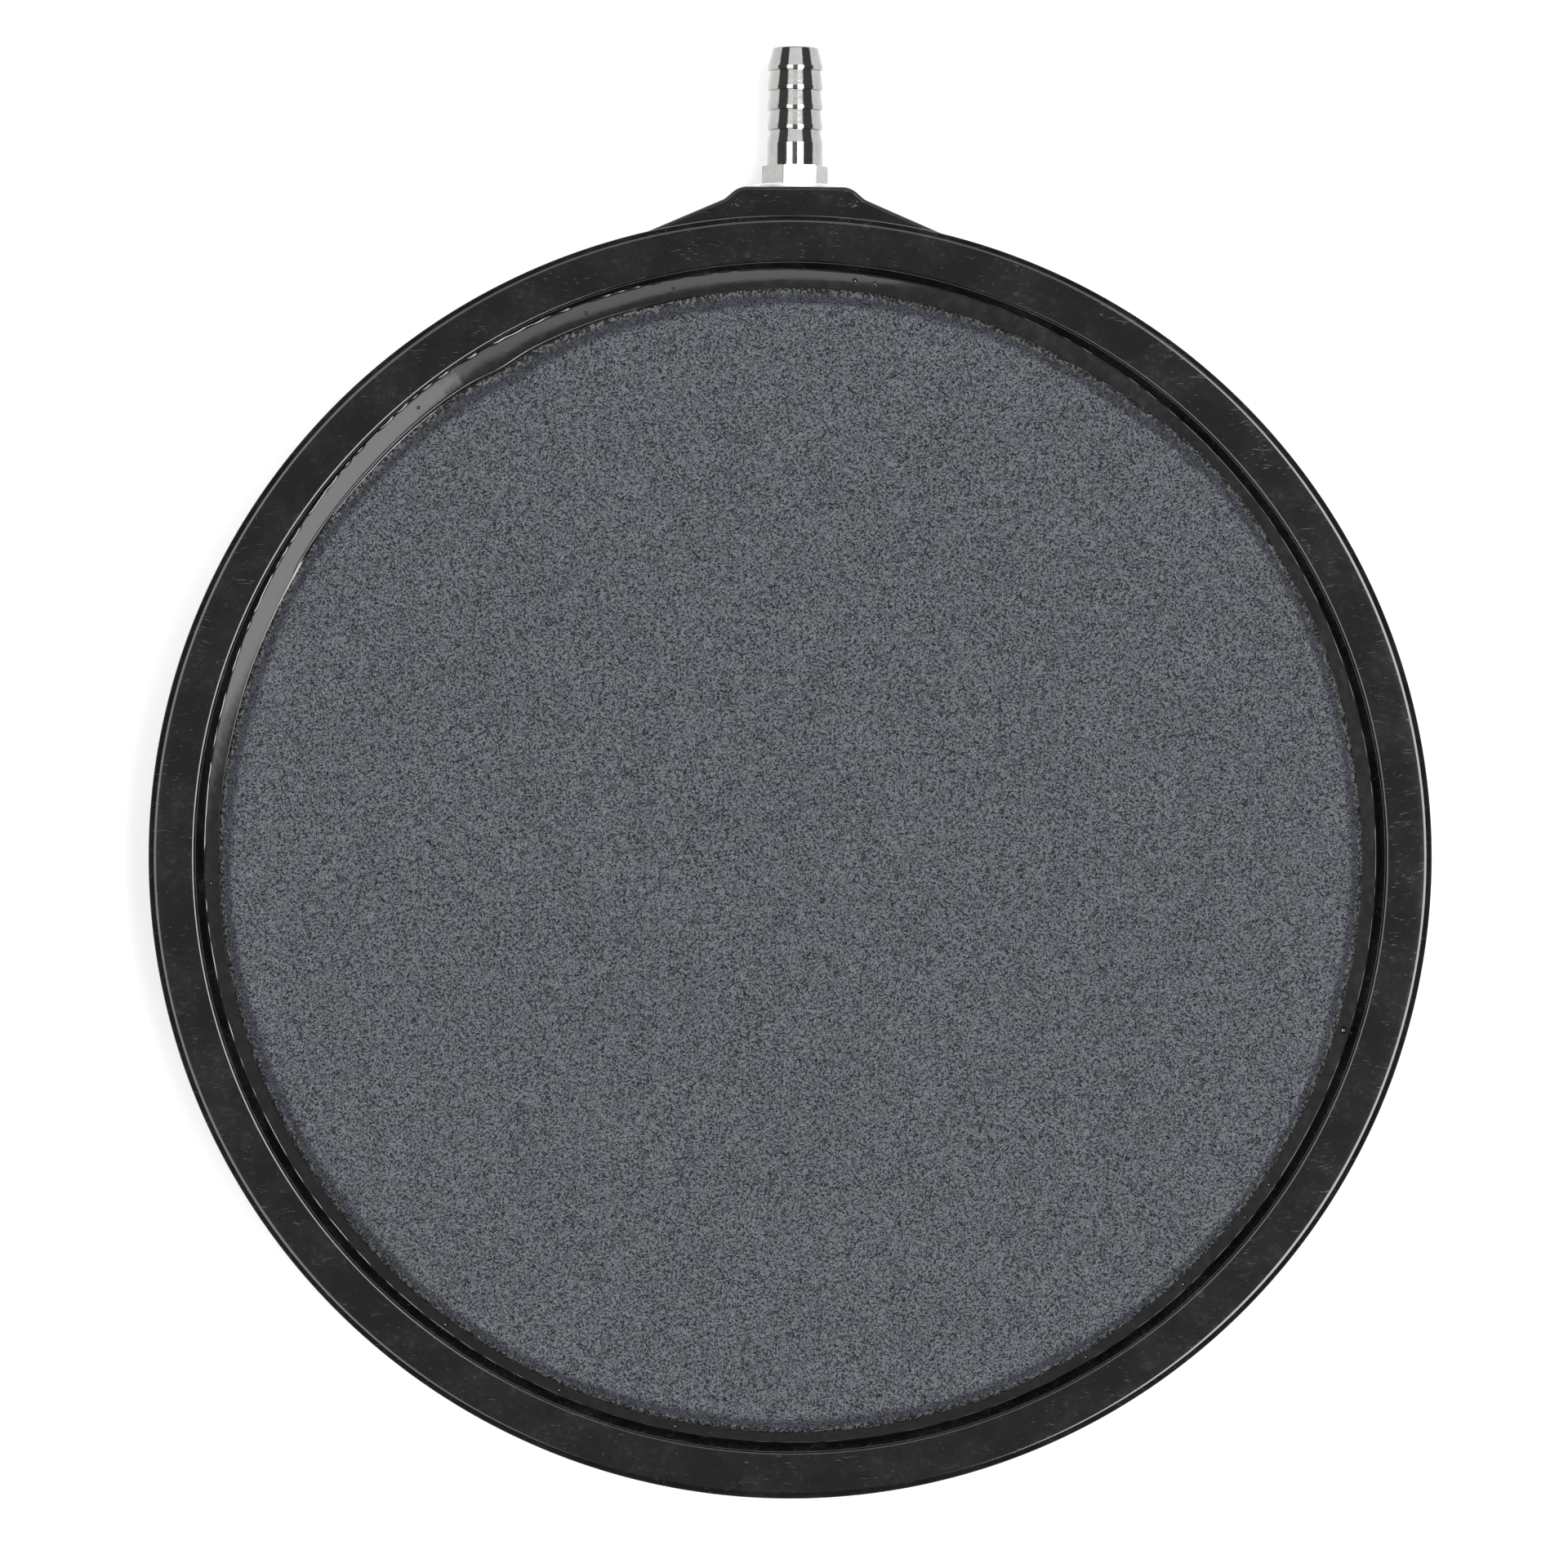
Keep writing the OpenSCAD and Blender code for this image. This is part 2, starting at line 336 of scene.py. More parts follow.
def satin_plastic():
    """Black moulded plastic: cloudy smudges, fine scratches, specks and two scuffed corners on the boss."""
    material, tree, shader, mm = new_material("satin_black_plastic")
    drift = add(tree, "TexNoise", {"Vector": mm, "Scale": 0.12}).outputs["Color"]
    drift = add(tree, "VectorMath", {0: drift, "Scale": 3.5}, operation="SCALE").outputs[0]
    warped = add(tree, "VectorMath", {0: mm, 1: drift}, operation="ADD").outputs[0]
    haze = remap(tree, noise_of(tree, mm, 0.13, 4.0, 0.62), 0.42, 0.68)
    scuff = remap(tree, noise_of(tree, warped, 0.8, 5.0, 0.7), 0.52, 0.75)
    marks = None
    for angle, length, width, share in SCRATCHES:
        layer = dashes(tree, warped, angle, length, width, share)
        marks = layer if marks is None else maths(tree, "MAXIMUM", marks, layer)
    broken = remap(tree, noise_of(tree, mm, 0.2, 4.0, 0.75), 0.42, 0.6)
    marks = maths(tree, "MULTIPLY", marks, broken)
    specks = dashes(tree, mm, 0, 0.5, 0.4, 0.03)
    wear = None
    for side in (-1, 1):
        corner = (side * SCUFF_ASIDE, FACE_Y - SCUFF_BACK, BOSS_H)
        away = add(tree, "VectorMath", {0: mm, 1: corner}, operation="DISTANCE")
        near = remap(tree, away.outputs["Value"], 0.3, 1.0, 1.0, 0.0)
        wear = near if wear is None else maths(tree, "MAXIMUM", wear, near)
    wear = maths(tree, "MULTIPLY", wear, remap(tree, noise_of(tree, mm, 1.8, 4.0, 0.7), 0.54, 0.64))
    base = blend_colour(tree, haze, (0.0030, 0.0031, 0.0036), (0.0085, 0.0087, 0.0102))
    base = blend_colour(tree, maths(tree, "MULTIPLY", scuff, haze), base, (0.030, 0.030, 0.033))
    base = blend_colour(tree, maths(tree, "MULTIPLY", marks, 0.5), base, (0.14, 0.14, 0.145))
    base = blend_colour(tree, maths(tree, "MULTIPLY", specks, 0.5), base, (0.15, 0.15, 0.15))
    base = blend_colour(tree, wear, base, (0.22, 0.22, 0.22))
    tree.links.new(base, shader.inputs["Base Color"])
    rough = remap(tree, maths(tree, "ADD", scuff, maths(tree, "MULTIPLY", haze, 0.5)), 0.0, 1.5, 0.09, 0.15)
    tree.links.new(rough, shader.inputs["Roughness"])
    grain = bump(tree, noise_of(tree, mm, 4.0, 3.0, 0.6), 0.002)
    wavy = bump(tree, noise_of(tree, mm, 0.1, 2.0), 0.03, grain)
    cut = bump(tree, maths(tree, "MULTIPLY", marks, -1.0), 0.006, wavy)
    tree.links.new(cut, shader.inputs["Normal"])
    shader.inputs["IOR"].default_value = 1.6
    return material


def porous_mineral():
    """Sintered blue-grey mineral grains. The attribute inside is how far in from the seen edge, in mm."""
    material, tree, shader, mm = new_material("porous_mineral")
    grains = add(tree, "TexVoronoi", {"Vector": mm, "Scale": 4.8, "Randomness": 1.0})
    lot = add(tree, "SeparateColor", {0: grains.outputs["Color"]})
    tone = remap(tree, lot.outputs[0], 0.1, 0.9, 0.1, 1.9)
    fine = remap(tree, noise_of(tree, mm, 8.0, 2.0, 0.6), 0.25, 0.75, 0.7, 1.3)
    cloud = remap(tree, noise_of(tree, mm, 0.12, 4.0, 0.6), 0.3, 0.7, 0.95, 1.05)
    value = maths(tree, "MULTIPLY", maths(tree, "MULTIPLY", tone, fine), cloud)
    tint = blend_colour(tree, remap(tree, noise_of(tree, mm, 0.2, 4.0, 0.6), 0.38, 0.62),
                        (0.076, 0.080, 0.088), (0.0735, 0.0794, 0.093))
    base = add(tree, "VectorMath", {0: tint, "Scale": value}, operation="SCALE").outputs[0]
    patches = add(tree, "TexVoronoi", {"Vector": mm, "Scale": 1.1})
    patch_lot = add(tree, "SeparateColor", {0: patches.outputs["Color"]}).outputs[0]
    dark_spot = maths(tree, "LESS_THAN", patch_lot, 0.004)
    base = blend_colour(tree, maths(tree, "MULTIPLY", dark_spot, 0.6), base, (0.03, 0.031, 0.035))
    ragged = remap(tree, noise_of(tree, mm, 1.3, 4.0, 0.75), 0.3, 0.7, -0.35, 0.35)
    inside = maths(tree, "ADD", add(tree, "Attribute", attribute_name="inside").outputs["Fac"], ragged)
    wet = remap(tree, inside, 1.75, 2.55, 1.0, 0.0)
    dull = blend_colour(tree, 1.0, base, (0.33, 0.34, 0.40), "MULTIPLY")
    base = blend_colour(tree, wet, base, dull)
    # Partly painted highlight: the bright chips on the disc's shoulder stand in for glints off resin-wet
    # grains. The dark chips are the grains' own tone.
    chips = add(tree, "TexVoronoi", {"Vector": mm, "Scale": 3.2})
    chip_lot = add(tree, "SeparateColor", {0: chips.outputs["Color"]}).outputs[1]
    chips_and_painted_glints = blend_colour(tree, remap(tree, chip_lot, 0.5, 0.75),
                           (0.006, 0.006, 0.0065), (0.16, 0.158, 0.152))
    shoulder = remap(tree, inside, 0.55, 1.15, 1.0, 0.0)
    base = blend_colour(tree, maths(tree, "MULTIPLY", shoulder, 0.8), base, chips_and_painted_glints)
    # Painted shadow: a near-black line where the disc goes into the resin. It stands in for the shade in that
    # seam, over the resin-wet foot of the shoulder.
    painted_seam_shadow = remap(tree, inside, -0.1, 0.22, 1.0, 0.0)
    base = blend_colour(tree, painted_seam_shadow, base, (0.008, 0.008, 0.009))
    tree.links.new(base, shader.inputs["Base Color"])
    tree.links.new(remap(tree, wet, 0.0, 1.0, 0.85, 0.55), shader.inputs["Roughness"])
    lumps = bump(tree, grains.outputs["Distance"], 0.12, strength=0.7)
    pores = bump(tree, noise_of(tree, mm, 5.0, 3.0, 0.7), 0.16, lumps, 0.8)
    tree.links.new(pores, shader.inputs["Normal"])
    shader.inputs["Specular IOR Level"].default_value = 0.3
    return material


def cured_resin():
    """Glossy black resin with faint ripples and a little dust."""
    material, tree, shader, mm = new_material("cured_resin")
    specks = dashes(tree, mm, 0, 0.35, 0.3, 0.012)
    film = remap(tree, noise_of(tree, mm, 0.5, 4.0, 0.65), 0.4, 0.75)
    base = blend_colour(tree, film, (0.003, 0.003, 0.0033), (0.006, 0.006, 0.0065))
    base = blend_colour(tree, maths(tree, "MULTIPLY", specks, 0.5), base, (0.12, 0.12, 0.12))
    tree.links.new(base, shader.inputs["Base Color"])
    tree.links.new(remap(tree, film, 0.0, 1.0, 0.09, 0.14), shader.inputs["Roughness"])
    ripple = bump(tree, noise_of(tree, mm, 0.35, 3.0, 0.6), 0.015)
    pits = bump(tree, noise_of(tree, mm, 4.0, 2.0, 0.6), 0.0015, ripple)
    tree.links.new(pits, shader.inputs["Normal"])
    shader.inputs["IOR"].default_value = 1.65
    return material


def plated_metal():
    """Bright nickel plating over turned metal: fine rings round the axis, slight tone changes."""
    material, tree, shader, mm = new_material("nickel_plate")
    apart = add(tree, "SeparateXYZ", {0: mm})
    lines = add(tree, "CombineXYZ", {0: maths(tree, "MULTIPLY", apart.outputs[0], 0.15),
                                     1: maths(tree, "MULTIPLY", apart.outputs[1], 9.0),
                                     2: maths(tree, "MULTIPLY", apart.outputs[2], 0.15)}).outputs[0]
    turned = noise_of(tree, lines, 1.0, 3.0, 0.6)
    smear = remap(tree, noise_of(tree, mm, 0.7, 4.0, 0.6), 0.35, 0.7)
    base = blend_colour(tree, smear, (0.36, 0.356, 0.348), (0.31, 0.307, 0.30))
    spots = dashes(tree, mm, 20, 0.5, 0.3, 0.05)
    base = blend_colour(tree, maths(tree, "MULTIPLY", spots, 0.5), base, (0.3, 0.29, 0.27))
    tree.links.new(base, shader.inputs["Base Color"])
    shader.inputs["Metallic"].default_value = 1.0
    patchy = remap(tree, smear, 0.0, 1.0, 0.03, 0.06)
    rough = maths(tree, "ADD", patchy, remap(tree, turned, 0.3, 0.7, 0.0, 0.03))
    tree.links.new(rough, shader.inputs["Roughness"])
    ringed = bump(tree, turned, 0.005)
    grit = bump(tree, noise_of(tree, mm, 5.0, 2.0, 0.7), 0.004, ringed)
    tree.links.new(bump(tree, noise_of(tree, mm, 1.2, 3.0), 0.008, grit), shader.inputs["Normal"])
    return material


def dull_plate():
    """Dull bright plating of a stamped washer."""
    material, tree, shader, mm = new_material("washer_plate")
    smear = remap(tree, noise_of(tree, mm, 0.9, 4.0, 0.6), 0.35, 0.7)
    base = blend_colour(tree, smear, (0.93, 0.93, 0.92), (0.85, 0.85, 0.84))
    tree.links.new(base, shader.inputs["Base Color"])
    shader.inputs["Metallic"].default_value = 1.0
    tree.links.new(remap(tree, smear, 0.0, 1.0, 0.55, 0.7), shader.inputs["Roughness"])
    tree.links.new(bump(tree, noise_of(tree, mm, 3.0, 3.0), 0.006), shader.inputs["Normal"])
    return material


def ring_rubber():
    material, tree, shader, mm = new_material("ring_rubber")
    base = blend_colour(tree, noise_of(tree, mm, 1.5, 3.0), (0.01, 0.01, 0.01), (0.03, 0.03, 0.03))
    tree.links.new(base, shader.inputs["Base Color"])
    tree.links.new(remap(tree, noise_of(tree, mm, 3.0, 2.0), 0.3, 0.7, 0.5, 0.7), shader.inputs["Roughness"])
    tree.links.new(bump(tree, noise_of(tree, mm, 6.0, 2.0), 0.01), shader.inputs["Normal"])
    return material


def floor_paint():
    material, tree, shader, mm = new_material("pale_floor")
    base = blend_colour(tree, noise_of(tree, mm, 0.01, 2.0), (0.74, 0.74, 0.74), (0.78, 0.78, 0.78))
    tree.links.new(base, shader.inputs["Base Color"])
    shader.inputs["Roughness"].default_value = 0.9
    shader.inputs["Specular IOR Level"].default_value = 0.1
    shader.inputs["Emission Color"].default_value = (1, 1, 1, 1)
    shader.inputs["Emission Strength"].default_value = 0.45
    return material


# ---------------------------------------------------------------- pan

def land_points():
    """The rim's flat top, from its outer edge inwards: very slightly crowned."""
    middle, half, sag = (PAN_R + LAND_IN_R) / 2, (PAN_R - LAND_IN_R) / 2, 0.035
    return [(middle + half * k / 10, PAN_H - sag * (k / 10) ** 2) for k in range(4, -9, -2)]


def pan_outline():
    """Section of the dish, from the middle of its underside out, over the rim and back across the floor."""
    under_z = PAN_H - WALL
    return rounded([
        (0, 0.4), (2, 0.4, 0.1), (2, 0, 0.1), (PAD_R, 0, 0.15), (PAD_R + 0.5, FOOT_H, 0.15),
        (WELL_R - 0.3, FOOT_H, 0.15), (WELL_R, 0, 0.15), (WELL_BACK_R, 0, 0.15),
        (WELL_BACK_R + 0.2, under_z - LIP_RISE, 0.4), (WELL_BACK_R + LIP_RUN, under_z, 0.4),
        (SKIRT_IN_R + 0.3, under_z, 0.4), (SKIRT_IN_R, 0, 0.15), (PAN_R - SKIRT_DRAFT, 0, 0.35),
        (PAN_R, PAN_H - 1.7, 0), (PAN_R, PAN_H - 0.59, 0.3), (PAN_R - 0.82, PAN_H - 0.02, 1.5)]
        + land_points() + [
        (LIP_TOP_R, PAN_H - 0.03, LIP_ROUND), (WELL_R, LIP_FOOT, 0.3), (WELL_R, FLOOR_TOP, 0.6),
        (0, FLOOR_TOP)], step=7)


def boss_plan():
    """Half of the plan is listed from the flank to the front, and mirrored."""
    side = [(*FLANK, 0), (*SHOULDER, 2.0), (FRONT_HALF, FACE_Y, FRONT_ROUND)]
    mirrored = [(-x, y, radius) for x, y, radius in reversed(side)]
    return rounded([(FLANK[0], 93)] + side + mirrored + [(-FLANK[0], 93)], step=6)


def edge_levels(low, high, radius, steps=6):
    """(height, inset) levels of an upright side with its bottom and top edges rounded."""
    turns = [math.pi / 2 * k / steps for k in range(steps + 1)]
    bottom = [(low + radius * (1 - math.sin(a)), radius * (1 - math.cos(a))) for a in reversed(turns)]
    top = [(high - radius * (1 - math.sin(a)), radius * (1 - math.cos(a))) for a in turns]
    return bottom + top


def radial_bars(name, count, from_r, to_r, low, high):
    """Straight ribs that run outwards, as one set of separate blocks."""
    points, faces = [], []
    for i in range(count):
        a = math.tau * (i + 0.5) / count
        out, side = Vector((math.cos(a), math.sin(a))), Vector((-math.sin(a), math.cos(a)))
        first = len(points)
        for z, half in ((low, RIB_T / 2 - 0.15), (high, RIB_T / 2 + 0.15)):
            for r, s in ((from_r, -half), (to_r, -half), (to_r, half), (from_r, half)):
                at = out * r + side * s
                points.append((at.x, at.y, z))
        corners = [(0, 3, 2, 1), (4, 5, 6, 7), (0, 1, 5, 4), (1, 2, 6, 5), (2, 3, 7, 6), (3, 0, 4, 7)]
        faces += [tuple(first + c for c in face) for face in corners]
    return outward(solid(name, points, faces))


def inlet_bore():
    """The air passage, the tapped hole and the sealing ring's seat, as one turned solid."""
    seat_r = (ring_high.x - ring_low.x) / 2 + 0.02
    hole_r = THREAD_R + 0.04
    hole_end = FACE_Y - THREAD_GRIP - BORE_START
    seat = ring_low.y - BORE_START
    face = FACE_Y - BORE_START
    return lathe("bore", [(0, 0), (PASSAGE_R, 0), (PASSAGE_R, hole_end), (hole_r, hole_end), (hole_r, seat),
                          (seat_r, seat), (seat_r, face - 0.2), (seat_r + 0.3, face + 0.1),
                          (seat_r + 0.3, face + 3), (0, face + 3)], 96)


def make_pan():
    pan = lathe("pan_body", pan_outline())
    combine(pan, prism("boss", boss_plan(), edge_levels(0, BOSS_H, 0.6)), "UNION")
    rim_ribs = radial_bars("rim_ribs", RIM_RIBS, WELL_BACK_R - 0.5, SKIRT_IN_R + 0.5, FOOT_H, PAN_H - 1)
    combine(pan, rim_ribs, "UNION")
    floor_ribs = radial_bars("floor_ribs", FLOOR_RIBS, PAD_R - 0.5, WELL_R + 0.5, 0.2, FOOT_H + 1)
    combine(pan, floor_ribs, "UNION")
    combine(pan, along_y(inlet_bore(), BORE_START), "DIFFERENCE")
    return finish_piece(pan, satin_plastic(), "pan", "pan")


# ---------------------------------------------------------------- porous disc

GRAIN_STEP = 0.56
SHOULDER_WIDE = 1.0
SHOULDER_ARC = 1.5
STONE_FACE = STONE_TOP - 0.15


def wave(angle, seed, per_turn):
    """Smooth noise round the disc, from -1 to 1, that closes on itself."""
    reach = per_turn / math.tau
    return noise.noise(Vector((math.cos(angle) * reach, math.sin(angle) * reach, seed))) * 1.6


def swell(angle, centre_deg, half_deg):
    """1 at one place round the disc, dying away to 0 on both sides."""
    away = (math.degrees(angle) - centre_deg + 180) % 360 - 180
    return math.exp(-(away / half_deg) ** 2)


def stone_rim_r(angle):
    """Where the disc goes into the resin: set off centre towards -Y, with one bulge and one chip."""
    bulge = 1.0 * swell(angle, 44, 8) + 0.6 * swell(angle, 26, 14) - 0.5 * swell(angle, 121, 2.5)
    uneven = 0.12 * wave(angle, 3.1, 9) + 0.09 * wave(angle, 8.4, 45)
    return STONE_R - 0.65 - 0.55 * math.sin(angle) + bulge + uneven


def stone_height(x, y):
    """Unevenness of the disc's face, in millimetres."""
    here = Vector((x, y, 0))
    slow = noise.noise(here / 26) * 0.08 + noise.noise(here / 6 + Vector((7, 3, 1))) * 0.03
    grain = noise.noise(here / 0.9 + Vector((1, 9, 4))) * 0.04 + noise.noise(here / 0.5) * 0.04
    return slow + grain


def soak_width(angle):
    """How much further in than usual the resin has soaked into the disc's edge."""
    return 0.3 * wave(angle, 5.7, 25) + 0.5 * swell(angle, 110, 45) - 0.8 * swell(angle, -38, 24)


def make_stone():
    rings = round((STONE_R + SHOULDER_ARC - SHOULDER_WIDE) / GRAIN_STEP)
    points = [(0, 0, STONE_FACE)]
    inside = [9.0]
    for k in range(1, rings + 1):
        for m in range(6 * k):
            a = math.tau * m / (6 * k)
            rim = stone_rim_r(a)
            flat_r = rim - SHOULDER_WIDE
            run = (flat_r + SHOULDER_ARC) * k / rings
            fall = max(0.0, run - flat_r) / SHOULDER_ARC * math.pi / 2
            r = min(run, flat_r) + (SHOULDER_WIDE + 0.05) * math.sin(fall)
            drop = max(0.25, STONE_TOP - resin_level(a) + 0.35) * (1 - math.cos(fall))
            x, y = r * math.cos(a), r * math.sin(a)
            points.append((x, y, STONE_FACE - drop + stone_height(x, y)))
            inside.append(min(9.0, rim - r - soak_width(a) * min(1.0, max(0.0, rim - r - 0.8))))
    faces = disc_faces(rings)
    last = 6 * rings
    start = len(points) - last
    edge = points[start:]
    for inset in (0.0, 0.4):
        size = 1 - inset / STONE_R
        points += [(x * size, y * size, STONE_SEAT + 0.4 - inset) for x, y, _ in edge]
    for base in (start, start + last):
        for k in range(last):
            n = (k + 1) % last
            faces.append((base + k, base + last + k, base + last + n, base + n))
    bottom = len(points)
    points.append((0, 0, STONE_SEAT))
    base = start + 2 * last
    faces += [(base + (k + 1) % last, base + k, bottom) for k in range(last)]
    inside += [0.0] * (len(points) - len(inside))
    stone = outward(solid("porous_stone", points, faces))
    layer = stone.data.attributes.new("inside", "FLOAT", "POINT")
    layer.data.foreach_set("value", inside)
    return finish_piece(stone, porous_mineral(), "pan", "porous_disc",
                        sharp_deg=0, weighted=False)


def disc_faces(rings):
    """Triangles of a disc whose ring k has 6k points."""
    faces = []
    for k in range(1, rings + 1):
        inner, outer = 1 + 3 * (k - 1) * (k - 2), 1 + 3 * k * (k - 1)
        for sector in range(6):
            for m in range(k):
                a = outer + sector * k + m
                b = outer + (sector * k + m + 1) % (6 * k)
                c = 0 if k == 1 else inner + (sector * (k - 1) + m) % (6 * (k - 1))
                faces.append((a, b, c))
                if m < k - 1:
                    d = inner + (sector * (k - 1) + m + 1) % (6 * (k - 1))
                    faces.append((b, d, c))
    return faces


# ---------------------------------------------------------------- resin

RESIN_AROUND = 1800
# Where the bead's top has points, as shares of its width: close together beside the disc
BEAD_STEPS = (0, 0.02, 0.045, 0.08, 0.13, 0.2, 0.3, 0.4, 0.5, 0.6, 0.7, 0.8, 0.9, 0.95)
# The bead, as (angle, tilt, reach): how many degrees its top falls outwards there, and how far out past the
# well wall it climbs, in mm
BEAD = ((0, 0.3, 0.1), (50, 0.6, 0.2), (60, 2, 0.3), (72, 4, 0.35), (84, 8, 0.4), (105, 8.5, 0.8),
        (126, 8, 1.25), (140, 8, 1.0), (155, 6.5, 0.6), (166, 3, 0.35), (176, 1.2, 0.15), (190, 0.8, 0.1),
        (215, 0.5, 0.1), (240, 0.5, 0.1), (360, 0.3, 0.1))
# Bubbles by angle in degrees, with their radii: burst ones leave a pit, whole ones a dome
PITS = ((-17, 0.7), (-34, 0.4), (-38, 0.3), (-47, 0.42), (-59, 0.38), (-101, 0.42), (-113, 0.4), (-126, 0.45),
        (130, 0.3), (111, 0.3), (102, 0.28))
DOMES = ((84, 0.5), (82, 0.42), (-177, 0.4))
# Where a bubble sits on the bead, as a share of the way from the disc to the wall
BUBBLE_IN = 0.55
# How far out past the well wall the bead and its ragged edge may climb
REACH_MOST = 1.25
EDGE_MOST = 1.35


def bead_top(angle):
    """The tilt of the bead's top, and the radius and height at which it ends on the wall."""
    at = math.degrees(angle) % 360
    angles, tilts, reaches = zip(*BEAD)
    reach = np.interp(at, angles, reaches) * (1 + 0.12 * wave(angle, 2.2, 14))
    reach += 0.04 * wave(angle, 6.3, 40)
    end_r = WELL_R + min(REACH_MOST, max(0.0, reach))
    return math.radians(np.interp(at, angles, tilts)), end_r, wall_height(end_r)


def wall_height(r):
    """Height of the sloping wall at one radius."""
    return LIP_FOOT + (r - WELL_R) * LIP_RISE / LIP_RUN


def resin_level(angle):
    """Height of the bead where it meets the disc."""
    tilt, end_r, end_z = bead_top(angle)
    return end_z + math.tan(tilt) * (end_r - stone_rim_r(angle))


def resin_section(angle):
    """Section of the bead at one angle: up the disc's side, over the top to the wall, and back below."""
    rim = stone_rim_r(angle)
    tilt, end_r, end_z = bead_top(angle)
    level = resin_level(angle)
    start_z = min(level, STONE_FACE - 0.1)
    surface = []
    for u in BEAD_STEPS:
        out = (end_r - rim) * u
        crown = level - (level - end_z) * (0.6 * u + 0.4 * u * u)
        surface.append((rim + out, crown - (level - start_z) * math.exp(-out / 0.08)))
    ragged = 0.01 + (end_r - WELL_R) * max(0.0, 0.12 * wave(angle, 4.4, 300) + 0.04)
    edge_r = min(end_r + ragged, WELL_R + EDGE_MOST)
    surface.append((edge_r, wall_height(edge_r)))
    below = [(WELL_R + 0.02, LIP_FOOT - 1), (WELL_R + 0.02, STONE_SEAT + 2)]
    return [(rim - 0.6, STONE_SEAT + 2), (rim - 0.4, start_z - 0.15)] + surface + below


def bubbles(name, spots, rise):
    """Small round balls on the bead, each raised by a share of its radius."""
    around, up = 20, 10
    points, faces = [], []
    for angle_deg, radius in spots:
        a = math.radians(angle_deg)
        end_r, end_z = bead_top(a)[1:]
        r = stone_rim_r(a) * (1 - BUBBLE_IN) + end_r * BUBBLE_IN
        z = resin_level(a) * (1 - BUBBLE_IN) + end_z * BUBBLE_IN + rise * radius
        first = len(points)
        for i in range(1, up):
            p = math.pi * i / up
            wide = radius * math.sin(p)
            for k in range(around):
                q = math.tau * k / around
                points.append((r * math.cos(a) + wide * math.cos(q), r * math.sin(a) + wide * math.sin(q),
                               z + radius * math.cos(p)))
        faces += [tuple(first + c for c in face) for face in grid_faces(up - 1, around, False)]
        faces.append(tuple(first + k for k in range(around)))
        faces.append(tuple(len(points) - around + k for k in range(around)))
    return outward(solid(name, points, faces))


def make_resin():
    sections = [resin_section(math.tau * k / RESIN_AROUND) for k in range(RESIN_AROUND)]
    rings = len(sections[0])
    points = []
    for i in range(rings):
        for k, section in enumerate(sections):
            a = math.tau * k / RESIN_AROUND
            r, z = section[i]
            points.append((r * math.cos(a), r * math.sin(a), z))
    resin = outward(solid("resin_bead", points, grid_faces(rings, RESIN_AROUND, True)))
    combine(resin, bubbles("pits", PITS, 0.45), "DIFFERENCE")
    combine(resin, bubbles("domes", DOMES, -0.45), "UNION")
    return finish_piece(resin, cured_resin(), "pan", "resin_seal",
                        sharp_deg=50, weighted=False)


# ---------------------------------------------------------------- fitting

def barb_outline():
    """Section of the fitting above the washer, out to the tip."""
    collar_y = HEX_Y + HEX_H
    neck_y = collar_y + COLLAR_LEN + TAPER_LEN
    points = [(0, HEX_Y - 0.7), (THREAD_R - 0.1, HEX_Y - 0.7), (THREAD_R - 0.1, HEX_Y + 0.5),
              (COLLAR_R, HEX_Y + 0.5), (COLLAR_R, collar_y + COLLAR_LEN, 0.3), (NECK_R, neck_y, 0.04)]
    for i in range(BARBS):
        low = neck_y + i * BARB_PITCH
        points += [(CREST_R, low, 0.07), (CREST_R, low + CREST_LEN, 0.12)]
        if i < BARBS - 1:
            points.append((NECK_R, low + BARB_PITCH, 0.04))
    points += [(TIP_R, BARB_TIP, 0.25), (AIR_BORE_R, BARB_TIP, 0.12),
               (AIR_BORE_R, BARB_TIP - 2), (0, BARB_TIP - 2)]
    return rounded(points, step=18)


def thread_solid():
    """The stem with a true right-hand thread, up to the underside of the washer."""
    around, per_pitch = 72, 12
    length = HEX_Y - 0.65 - STEM_END
    depth = 0.55 * THREAD_PITCH
    rows = round(length / THREAD_PITCH * per_pitch)
    points = []
    for i in range(rows + 1):
        y = length * i / rows
        fade = min(1.0, max(0.0, (length - 0.7 - y) / 0.5))
        lead = min(1.0, y / 0.8)
        for k in range(around):
            a = math.tau * k / around
            phase = (y / THREAD_PITCH - k / around) % 1.0
            rise = min(1.0, max(0.0, 1.35 - abs(phase - 0.5) * 4.2))
            r = THREAD_R - depth + depth * rise * fade - 0.35 * (1 - lead)
            points.append((r * math.cos(a), r * math.sin(a), y))
    faces = grid_faces(rows + 1, around, False)
    faces += [tuple(range(around)), tuple(range(len(points) - around, len(points)))]
    return along_y(outward(solid("thread", points, faces)), STEM_END)


def hexagon():
    """The hexagon, its corners slightly rounded and its outer end chamfered."""
    far = HEX_AF / 2 / math.cos(math.radians(30))
    turns = [math.radians(HEX_TURN + 60 * k) for k in range(6)]
    corners = [(far * math.cos(a), far * math.sin(a), 0.22) for a in turns]
    block = prism("hexagon", rounded(corners, step=15), [(0, 0), (HEX_H, 0)])
    far_r = far + 1
    turned_r = far - 0.25
    cone = lathe("chamfer", [(0, 0), (far_r, 0), (far_r, HEX_H - 0.6), (turned_r, HEX_H), (0, HEX_H)], 96)
    return along_y(combine(block, cone, "INTERSECT"), HEX_Y)


